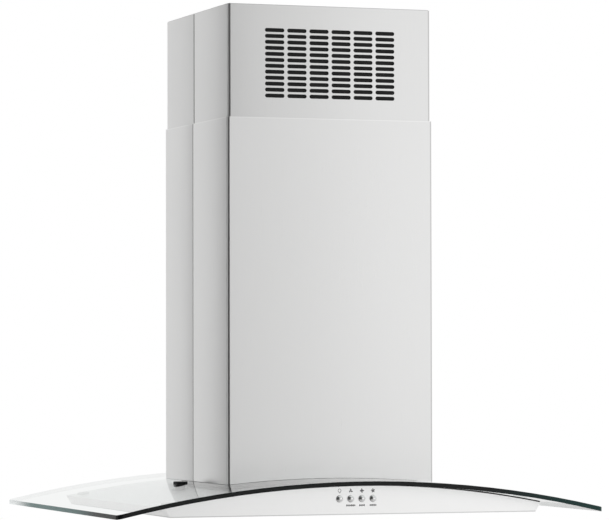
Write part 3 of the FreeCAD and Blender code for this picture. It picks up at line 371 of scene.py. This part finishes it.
def clear_silicone():
    """Soft clear pads: milky, and so pale that they hardly show between glass and steel."""
    f = Finish("clear silicone")
    where, *_ = f.place()
    cloud = f.noise(where, (160.0, 160.0, 160.0), detail=3.0)
    tone = f.blend(cloud, (0.86, 0.87, 0.87), (0.95, 0.955, 0.95))
    body = f.principled(Base_Color=tone, Roughness=0.25 + cloud * 0.15, Normal=f.bump(cloud, 0.1, 0.0002))
    clear = f.node("BsdfTransparent", None, (0.97, 0.975, 0.97, 1))
    return f.done(f.node("MixShader", None, 0.1 + cloud * 0.1, clear, body))


finishes["canopy_glass"] = canopy_glass()
finishes["frosted_lens"] = frosted_lens()
finishes["mesh"] = bright_metal("expanded aluminium", 0.62, 0.3)
print("glass ready")

# %% [markdown]
# ## One finish for each piece
# The frame says which material slot each CAD node has, so most nodes get their finish from their slot. A few
# are told by name: the chimney halves, the fascias, the underside and the clear pads under the glass.

# %% Give every CAD node its finish
special = {
    **chimney_steel,
    "glass_spacers": clear_silicone(),
    "front_fascia": fascia_steel,
    "rear_fascia": fascia_steel,
    "body_shell": fascia_steel,
    "underside_panel": panel_steel,
}
for name, obj in nodes.items():
    finish = special.get(name) or finishes[slot_of[name]]
    obj.data.materials.clear()
    obj.data.materials.append(finish)
print("finished", len(nodes), "nodes")

# %% [markdown]
# ## Laying out a surface
# Every new piece is a grid of points worked out with numpy and laid into a mesh as quads. A grid can close on
# itself in either direction. Points that fall together, at a pole or a seam, are merged afterwards, and the
# faces are turned outwards.


# %% Grid to mesh
def lay_grids(name, grids, body, finish, smooth=True):
    """grids lists (points, closed_u, closed_v). points is (..., u, v, 3), a stack of equal grids: corner (u, v)
    is joined to (u + 1, v), (u + 1, v + 1) and (u, v + 1), and the last to the first where a way is closed."""
    blocks, quads, start = [], [], 0
    for points, closed_u, closed_v in grids:
        points = np.asarray(points, dtype=float)
        stack = points.reshape(-1, *points.shape[-3:])
        count, nu, nv = stack.shape[:3]
        index = start + np.arange(count * nu * nv).reshape(count, nu, nv)
        across = np.roll(index, -1, axis=1) if closed_u else index[:, 1:]
        near = index if closed_u else index[:, :-1]
        near_next, across_next = np.roll(near, -1, axis=2), np.roll(across, -1, axis=2)
        rings = (near, across, across_next, near_next)
        if not closed_v:
            rings = [ring[:, :, :-1] for ring in rings]
        quads.append(np.stack(rings, axis=-1).reshape(-1, 4))
        blocks.append(stack.reshape(-1, 3))
        start += count * nu * nv
    corners, faces = np.concatenate(blocks), np.concatenate(quads)
    mesh = bpy.data.meshes.new(name)
    mesh.vertices.add(len(corners))
    mesh.vertices.foreach_set("co", corners.ravel())
    mesh.loops.add(faces.size)
    mesh.loops.foreach_set("vertex_index", faces.ravel())
    mesh.polygons.add(len(faces))
    mesh.polygons.foreach_set("loop_start", np.arange(0, faces.size, 4))
    mesh.polygons.foreach_set("use_smooth", np.full(len(faces), smooth))
    mesh.update(calc_edges=True)
    tidy = bmesh.new()
    tidy.from_mesh(mesh)
    bmesh.ops.remove_doubles(tidy, verts=tidy.verts, dist=1e-7)
    bmesh.ops.recalc_face_normals(tidy, faces=tidy.faces)
    tidy.to_mesh(mesh)
    tidy.free()
    mesh.materials.append(finish)
    piece = bpy.data.objects.new(name, mesh)
    bpy.context.scene.collection.objects.link(piece)
    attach(piece, body)
    print(name, len(mesh.polygons), "faces")
    return piece


# %% [markdown]
# ## Printed icons and marks
# Above each button sits a small grey icon: a lamp, then a fan with more blades for more speed. Below the three
# speed buttons is a row of ticks. They could be drawn by the fascia's material, but a layer of ink is easy as
# geometry: every stroke is a flat plate between an outer and an inner oval, and stands a twentieth of a
# millimetre proud of the steel.


# %% Ink
def oval(centre, half, turn=0.0, power=1.0, steps=20):
    """Points of centre + turned (a * cos(t), b * sin(t)), with each sine and cosine raised to power."""
    t = np.linspace(0, 2 * np.pi, steps, endpoint=False)
    wave = np.stack([np.cos(t), np.sin(t)], axis=-1)
    wave = np.sign(wave) * np.abs(wave) ** power * np.array(half)
    c, s = math.cos(turn), math.sin(turn)
    return wave @ np.array([[c, s], [-s, c]]) + np.array(centre)


def plate(outer, inner=None):
    """A section of four corners, inner and outer, front and back, carried round the outline."""
    inner = np.repeat(outer.mean(0)[None], len(outer), 0) if inner is None else inner
    rings = [(inner, ink_front), (outer, ink_front), (outer, ink_back), (inner, ink_back)]
    section = [np.stack([ring[:, 0], np.full(len(ring), depth), ring[:, 1]], -1) for ring, depth in rings]
    return np.stack(section), True, True


front_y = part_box("front_fascia")[0].y
ink_front, ink_back = front_y - 0.00005, front_y + 0.00002
mm = 0.001
ink = coated("printed grey ink", (0.16, 0.16, 0.165), 0.55, grain=2500.0)
dark_ink = coated("printed dark ink", (0.05, 0.05, 0.052), 0.55, grain=2500.0)
button_middle = {}
for name in ("light", "low", "medium", "high"):
    low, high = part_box("button_" + name)
    button_middle[name] = ((low.x + high.x) / 2, (low.z + high.z) / 2)
icon_rise, mark_drop = 13.7 * mm, 11.6 * mm


def fan(centre, blades, size):
    """Blades are ovals set out round a hub."""
    turns = np.pi / 2 + 2 * np.pi * np.arange(blades) / blades
    reach = size * 0.56
    width = size * (0.3 if blades < 5 else 0.2)
    places = [(centre[0] + reach * math.cos(a), centre[1] + reach * math.sin(a)) for a in turns]
    made = [plate(oval(place, (size * 0.44, width), a + 0.5)) for place, a in zip(places, turns)]
    return made + [plate(oval(centre, (size * 0.24, size * 0.24)))]


x, z = button_middle["light"]
z += icon_rise
lamp = [
    plate(oval((x, z + 0.5 * mm), (3.2 * mm, 3.3 * mm)), oval((x, z + 0.5 * mm), (2.4 * mm, 2.5 * mm))),
    plate(oval((x, z - 3.5 * mm), (1.3 * mm, 0.35 * mm), 0, 0.4)),
]
lay_grids("icon_light", lamp, "hood", ink, False)
for name, blades, size, ticks in (("low", 3, 3.9, 8), ("medium", 4, 3.9, 5), ("high", 5, 4.2, 6)):
    x, z = button_middle[name]
    lay_grids("icon_" + name, fan((x, z + icon_rise), blades, size * mm), "hood", ink, False)
    places = x + (np.arange(ticks) - (ticks - 1) / 2) * 2.15 * mm
    heights = 1.7 * mm - 0.4 * mm * (np.arange(ticks) % 2)
    row = [plate(oval((tx, z - mark_drop), (0.8 * mm, h), 0, 0.4)) for tx, h in zip(places, heights)]
    lay_grids("mark_" + name, row, "hood", dark_ink, False)

# %% [markdown]
# ## Edge strip
# A soft black strip lies along the body's front top edge, so that the glass can't rattle against the steel. It
# shows as a thin black line under the glass wherever the two arcs draw apart. Its section, a rectangle, is
# carried along the body's arc; its height is the gap there, or the strip's own, if that is less.


# %% Black edge strip
def arc_through(half_width, middle, end):
    """Height of a circle's arc at x, from its height in the middle and at half_width: z = c + sqrt(r*r - x*x)."""
    drop = middle - end
    radius = (half_width**2 + drop**2) / (2 * drop)
    return lambda x: middle - radius + np.sqrt(radius**2 - x**2)


body_low, body_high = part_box("body_shell")
glass_low, glass_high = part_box("glass_canopy")
glass_thick = 8.0 * mm
body_end_height = 16.2 * mm
strip_height, strip_width = 2.4 * mm, 5.0 * mm
body_arc = arc_through(body_high.x, body_high.z, cad_box[0][2] + body_end_height)
under_glass = arc_through(glass_high.x, glass_high.z - glass_thick, glass_low.z)
x = np.linspace(-body_high.x + 1 * mm, body_high.x - 1 * mm, 97)
foot = body_arc(x) + 0.02 * mm
crest = np.minimum(foot + strip_height, under_glass(x) - 0.05 * mm)
near = body_low.y + 0.2 * mm
back = near + strip_width
corners = [(near, foot), (near, crest), (back, crest), (back, foot)]
strip = np.stack([np.stack([x, np.full_like(x, depth), height], -1) for depth, height in corners], axis=1)
ends = np.repeat(strip[[0, -1]].mean(1)[:, None], 4, 1)
strip = np.concatenate([ends[:1], strip, ends[1:]])
lay_grids("edge_strip", [(strip, False, True)], "hood", finishes["rubber"], False)

# %% [markdown]
# ## Woven filter mesh
# A grease filter is a stack of aluminium wire mesh in a channel frame. A flat sheet with a pattern would do
# from afar, but the filters are what anyone sees from below, so each layer is woven: wires run both ways, and
# each rises and falls by turns over the ones that it crosses.


# %% Weave
def wires(x0, x1, y0, y1, z, pitch, radius, phase):
    """Wire k runs along y at x = x0 + k * pitch, with z + rise * cos(pi * (y / pitch + k)); four-sided section."""
    k = np.arange(int((x1 - x0) / pitch) + 1)
    s = np.arange(int((y1 - y0) / pitch * 2) + 1) * pitch / 2
    wave = z + radius * 0.9 * np.cos(np.pi * (s[None, :] / pitch + k[:, None] + phase))
    turn = np.array([0, 0.5, 1, 1.5]) * np.pi
    shape = (len(k), len(s), 4)
    px = np.broadcast_to((x0 + k * pitch)[:, None, None] + radius * np.cos(turn), shape)
    py = np.broadcast_to((y0 + s)[None, :, None], shape)
    return np.stack([px, py, wave[:, :, None] + radius * np.sin(turn)], -1)


def woven(x0, x1, y0, y1, z, pitch, radius):
    """Wires along y, and wires along x made the same way with x and y exchanged, half a wave out of step."""
    lengthways = wires(x0, x1, y0, y1, z, pitch, radius, 0)
    sideways = wires(y0, y1, x0, x1, z, pitch, radius, 1)[..., [1, 0, 2]]
    return [(lengthways, False, True), (sideways, False, True)]


for side in ("left", "right"):
    low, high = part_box("filter_mesh_" + side)
    latch_low, latch_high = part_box("filter_latch_" + side)
    notch_y = latch_high.y + 8 * mm
    edge = 1.5 * mm
    for kind, z, pitch, radius in (
        ("fine", low.z + 1.2 * mm, 4.2 * mm, 0.6 * mm),
        ("coarse", high.z - 1.8 * mm, 6.0 * mm, 0.9 * mm),
    ):
        layers = woven(low.x + edge, high.x - edge, notch_y, high.y - edge, z, pitch, radius)
        for x0, x1 in ((low.x + edge, latch_low.x - 8 * mm), (latch_high.x + 8 * mm, high.x - edge)):
            layers += woven(x0, x1, low.y + edge, notch_y - pitch, z, pitch, radius)
        layer = lay_grids(f"{kind}_mesh_{side}", layers, "filter_" + side, finishes["mesh"])
        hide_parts("filter_mesh_" + side)

# %% [markdown]
# ## Return springs
# A spring sits behind each button, and two behind each filter latch. CAD has them as stiff coils, which the
# moving part would drive through. Here each is a round wire carried along a helix, and it squashes towards its
# fixed end by as much as its joint travels.


# %% Springs
def coil(x, z, y0, y1, radius, wire, turns=4):
    """Centre line (x + r cos t, y, z + r sin t) with y growing evenly; the wire's circle stands square to it."""
    t = np.linspace(0, 2 * np.pi * turns, 20 * turns + 1)
    rise = y1 - y0 - 2 * wire
    out = np.stack([np.cos(t), np.zeros_like(t), np.sin(t)], -1)
    line = np.array([x, y0 + wire, z]) + radius * out
    line[:, 1] += rise * t / t[-1]
    along = np.stack([-radius * np.sin(t), np.full_like(t, rise / t[-1]), radius * np.cos(t)], -1)
    along /= np.linalg.norm(along, axis=-1, keepdims=True)
    aside = np.cross(along, out)
    v = np.arange(8) * np.pi / 4
    tube = line[:, None] + wire * (np.cos(v)[:, None] * out[:, None] + np.sin(v)[:, None] * aside[:, None])
    ends = np.repeat(line[[0, -1]][:, None], 8, 1)
    return np.concatenate([ends[:1], tube, ends[1:]]), False, True


def sprung(name, body, radius, wire=0.35 * mm):
    """Coils at both ends of the CAD node's width, or one where the node is only a coil wide."""
    low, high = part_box(name)
    middle_z = (low.z + high.z) / 2
    places = sorted({round(low.x + radius + wire, 5), round(high.x - radius - wire, 5)})
    grids = [coil(x, middle_z, low.y, high.y, radius, wire) for x in places]
    piece = lay_grids("wound_" + name, grids, body, finishes[slot_of[name]])
    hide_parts(name)
    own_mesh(piece)


for name in ("light", "low", "medium", "high"):
    sprung("button_spring_" + name, "hood", 3.2 * mm)
for side in ("left", "right"):
    sprung("latch_springs_" + side, "filter_" + side, 2.7 * mm)

# %% [markdown]
# ## Studio
# A pale floor where a worktop would be, an even pale room, two soft panels, and two dark cards on the left
# so that round chrome and the bent steel corners have something dark to reflect. The cards suit a view from
# the front left; from other sides they make the chimney darker.


# %% Floor, cards and lights
def flat_card(name, corners):
    """One quad through four corners, kept out of the object as part of the stage."""
    mesh = bpy.data.meshes.new(name)
    mesh.from_pydata(corners, [], [(0, 1, 2, 3)])
    card = bpy.data.objects.new(name, mesh)
    bpy.context.scene.collection.objects.link(card)
    return card


def card_finish(name, tone, roughness=0.9, one_sided=False):
    """A matt card. A one-sided card can be looked through from behind, so that the floor never hides the hood."""
    f = Finish(name)
    where, *_ = f.place()
    cloud = f.noise(where, (2.0, 2.0, 2.0))
    shade = tone + (cloud - 0.5) * 0.02
    colour = f.node("CombineColor", None, shade, shade, shade)
    matt = f.principled(Base_Color=colour, Roughness=roughness)
    if one_sided:
        behind = f.node("NewGeometry", output="Backfacing")
        matt = f.node("MixShader", None, behind, matt, f.node("BsdfTransparent"))
    return f.done(matt)


floor_drop = 0.75  # body's underside to the floor
floor_z = cad_box[0][2] - floor_drop
half_floor = 12.0
ways = ((-1, -1), (1, -1), (1, 1), (-1, 1))
floor = flat_card("floor", [(sx * half_floor, sy * half_floor, floor_z) for sx, sy in ways])
floor.data.materials.append(card_finish("pale floor", 0.88, one_sided=True))


def area_light(name, place, target, size, power):
    """A rectangular panel at place that faces target; power is in watts."""
    lamp = bpy.data.lights.new(name, "AREA")
    lamp.shape = "RECTANGLE"
    lamp.size, lamp.size_y = size
    lamp.energy = power
    obj = bpy.data.objects.new(name, lamp)
    bpy.context.scene.collection.objects.link(obj)
    obj.location = place
    obj.rotation_euler = (Vector(target) - Vector(place)).to_track_quat("-Z", "Y").to_euler()


area_light("key panel", (2.0, -2.35, -0.3), (0.1, 0.0, -0.5), (2.2, 1.9), 2.9)
area_light("fill panel", (-2.2, 2.6, -0.3), (-0.2, 0.1, -0.5), (1.6, 1.9), 2.3)

card_floor, card_top = floor_z + 0.02, 2.4
card_tone = 0.13
for name, (x0, y0), (x1, y1) in (
    ("front card", (-0.15, -2.2), (-2.1, -0.34)),
    ("side card", (-1.03, 1.53), (-1.68, 0.68)),
):
    corners = [(x0, y0, card_floor), (x1, y1, card_floor), (x1, y1, card_top), (x0, y0, card_top)]
    card = flat_card(name, corners)
    card.data.materials.append(card_finish(name, card_tone))
    card.visible_camera = False

world = bpy.data.worlds.new("studio")
bpy.context.scene.world = world
world.use_nodes = True
tree = world.node_tree
tree.nodes.clear()
room = tree.nodes.new("ShaderNodeBackground")
room.inputs[0].default_value = (0.905, 0.905, 0.9, 1)
backdrop = tree.nodes.new("ShaderNodeBackground")
backdrop.inputs[0].default_value = (1, 1, 1, 1)
path = tree.nodes.new("ShaderNodeLightPath")
mix = tree.nodes.new("ShaderNodeMixShader")
world_out = tree.nodes.new("ShaderNodeOutputWorld")
tree.links.new(path.outputs["Is Camera Ray"], mix.inputs[0])
tree.links.new(room.outputs[0], mix.inputs[1])
tree.links.new(backdrop.outputs[0], mix.inputs[2])
tree.links.new(mix.outputs[0], world_out.inputs[0])
print("studio ready")

# %% [markdown]
# ## Camera
# A long lens from far off keeps the chimney's upright edges nearly parallel. The camera stands low to the front
# left and looks slightly up; its sideways shift moves the picture without turning the view.

# %% Camera
yaw, pitch, roll = math.radians(-19.35), math.radians(1.765), math.radians(-0.08)
forward = Vector((-math.sin(yaw) * math.cos(pitch), math.cos(yaw) * math.cos(pitch), math.sin(pitch)))
level = Vector((math.cos(yaw), math.sin(yaw), 0))
upward = level.cross(forward)
right = level * math.cos(roll) + upward * math.sin(roll)
up = upward * math.cos(roll) - level * math.sin(roll)
camera = bpy.data.objects.new("camera", bpy.data.cameras.new("camera"))
bpy.context.scene.collection.objects.link(camera)
turned = Matrix((right, up, -forward)).transposed()
eye = (-2.0976, -5.7159, cad_box[0][2] + 0.2651)
camera.matrix_world = Matrix.Translation(eye) @ turned.to_4x4()
camera.data.sensor_width = 36  # millimetres, as the lens
camera.data.lens = 196.705419
camera.data.shift_x = 0.08949097
camera.data.clip_end = 50
bpy.context.scene.camera = camera
bpy.context.scene.view_settings.view_transform = "Standard"
print("camera at", [round(c, 3) for c in camera.matrix_world.translation])
